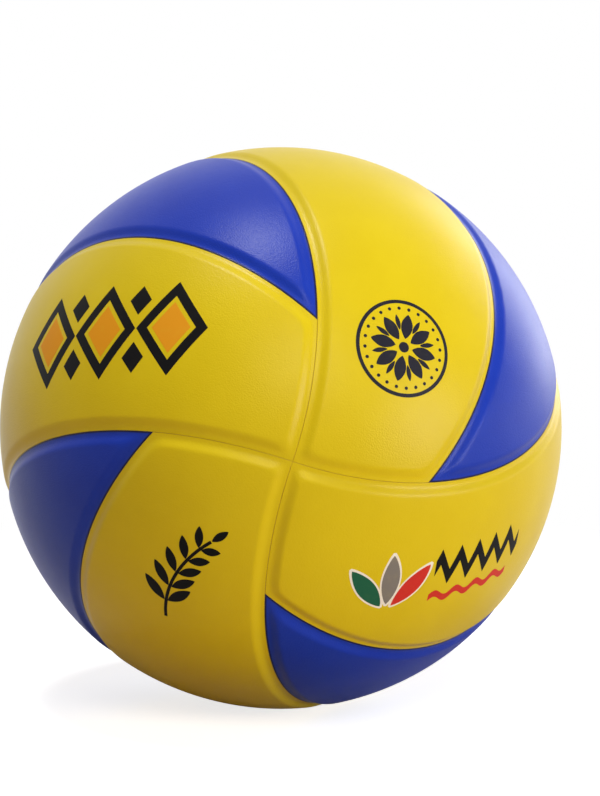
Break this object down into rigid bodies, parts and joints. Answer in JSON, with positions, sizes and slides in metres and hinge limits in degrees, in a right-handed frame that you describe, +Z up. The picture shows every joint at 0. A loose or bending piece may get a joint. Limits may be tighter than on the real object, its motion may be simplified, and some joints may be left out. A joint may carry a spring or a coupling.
{
  "type": "volleyball",
  "caption": "Indoor volleyball: swirl-shaped padded panels in yellow and blue over foam, a rubber carcass, a nylon winding and an air bladder with a needle valve.",
  "frame": {"origin": "centre of the ball", "axes": "+Z up, -Z to the ground; the axis of the panel swirl runs along Y, with the point where the yellow panels meet at -Y and the point where the blue panels meet at +Y"},
  "size_m": [0.21, 0.2092, 0.21],
  "materials": {
    "yellow_leather": "satin, fine grain",
    "blue_leather": "satin, fine grain",
    "foam": "closed-cell foam",
    "carcass_rubber": "moulded, matte",
    "nylon_thread": "wound thread set in latex",
    "butyl": "smooth butyl",
    "valve_rubber": "smooth moulded rubber"
  },
  "bodies": {
    "root": {"panel_yellow_1": "yellow_leather", "panel_yellow_2": "yellow_leather", "panel_yellow_3": "yellow_leather", "panel_yellow_4": "yellow_leather", "panel_blue_1": "blue_leather", "panel_blue_2": "blue_leather", "panel_blue_3": "blue_leather", "panel_blue_4": "blue_leather", "foam_pad_yellow_1": "foam", "foam_pad_yellow_2": "foam", "foam_pad_yellow_3": "foam", "foam_pad_yellow_4": "foam", "foam_pad_blue_1": "foam", "foam_pad_blue_2": "foam", "foam_pad_blue_3": "foam", "foam_pad_blue_4": "foam", "rubber_carcass": "carcass_rubber", "nylon_winding": "nylon_thread", "bladder": "butyl", "valve_seat": "valve_rubber", "valve_plug": "butyl"}
  },
  "joints": []
}
